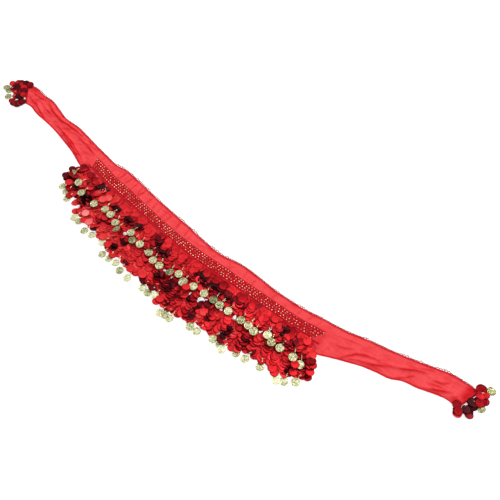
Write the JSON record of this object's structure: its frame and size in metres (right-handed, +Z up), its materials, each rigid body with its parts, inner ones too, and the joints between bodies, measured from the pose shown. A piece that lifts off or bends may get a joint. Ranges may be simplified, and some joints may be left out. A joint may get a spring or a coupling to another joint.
{
  "type": "belly dance hip scarf",
  "caption": "Belly dance hip scarf laid flat: a long sheer strip with a beaded band, two tiers of sequin strings that end in coins, and a tassel at each end.",
  "frame": {"origin": "middle of the laid-out scarf's box, on the surface that it lies on", "axes": "+X along the scarf's length, +Y towards its plain top edge, +Z up from the surface"},
  "size_m": [1.5204, 0.3221, 0.0125],
  "materials": {
    "chiffon": "sheer red chiffon with a fine weave and soft creases",
    "beaded_net": "dense red net sewn with rows of small gold beads",
    "edging": "looped thread edging with tiny clear and maroon beads",
    "sequins": "metallised red film sequins, mirror bright on one face and dark where turned away",
    "coins": "pale gold stamped metal discs and beads, worn"
  },
  "bodies": {
    "root": {"chiffon_strip": "chiffon", "beaded_net_band": "beaded_net", "beaded_edging": "edging", "upper_fringe_1": "sequins", "upper_fringe_2": "sequins", "upper_fringe_3": "sequins", "upper_fringe_4": "sequins", "lower_fringe_1": "sequins", "lower_fringe_2": "sequins", "lower_fringe_3": "sequins", "lower_fringe_4": "sequins", "left_end_tassel": "sequins", "right_end_tassel": "sequins"}
  },
  "joints": []
}
